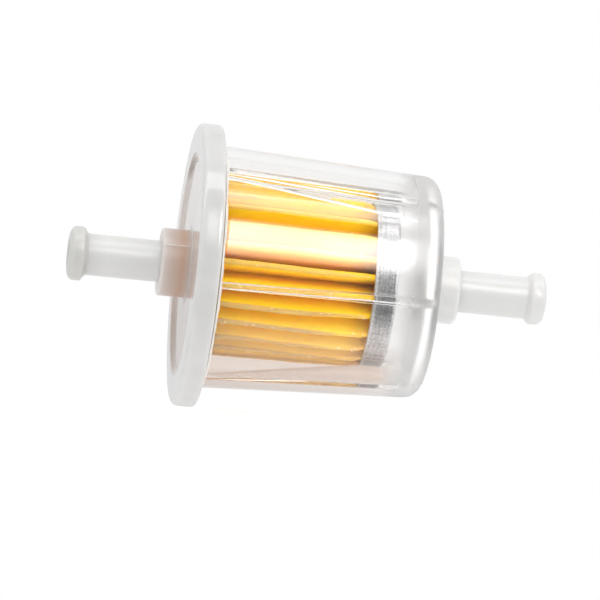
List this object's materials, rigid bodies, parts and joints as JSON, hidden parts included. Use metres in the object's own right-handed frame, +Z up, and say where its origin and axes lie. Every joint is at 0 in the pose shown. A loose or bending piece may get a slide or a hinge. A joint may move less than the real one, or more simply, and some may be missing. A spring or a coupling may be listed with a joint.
{
  "type": "inline fuel filter",
  "caption": "Clear-bowl inline fuel filter with a pleated paper element, a milky nylon flange cap and a hose barb at each end.",
  "frame": {"origin": "on the flow axis, in the middle of the outlet barb's widest land", "axes": "+X along the flow axis from the outlet barb to the inlet barb, +Z up, -Y towards the viewer"},
  "size_m": [0.0755, 0.0444, 0.0444],
  "materials": {
    "milky_nylon": "translucent natural nylon, satin",
    "clear_plastic": "clear, polished",
    "filter_paper": "resin-treated, matt and fibrous",
    "aluminium": "brushed",
    "sealant": "cast sealant",
    "core_plastic": "satin",
    "clip_steel": "tinned strip"
  },
  "bodies": {
    "root": {"outlet_cap": "milky_nylon", "bowl": "clear_plastic", "inlet_fitting": "milky_nylon", "weld_bead": "milky_nylon", "pleated_paper": "filter_paper", "seam_clip": "clip_steel", "core_tube": "core_plastic", "end_cap": "aluminium", "end_potting": "sealant", "outlet_potting": "sealant"}
  },
  "joints": []
}
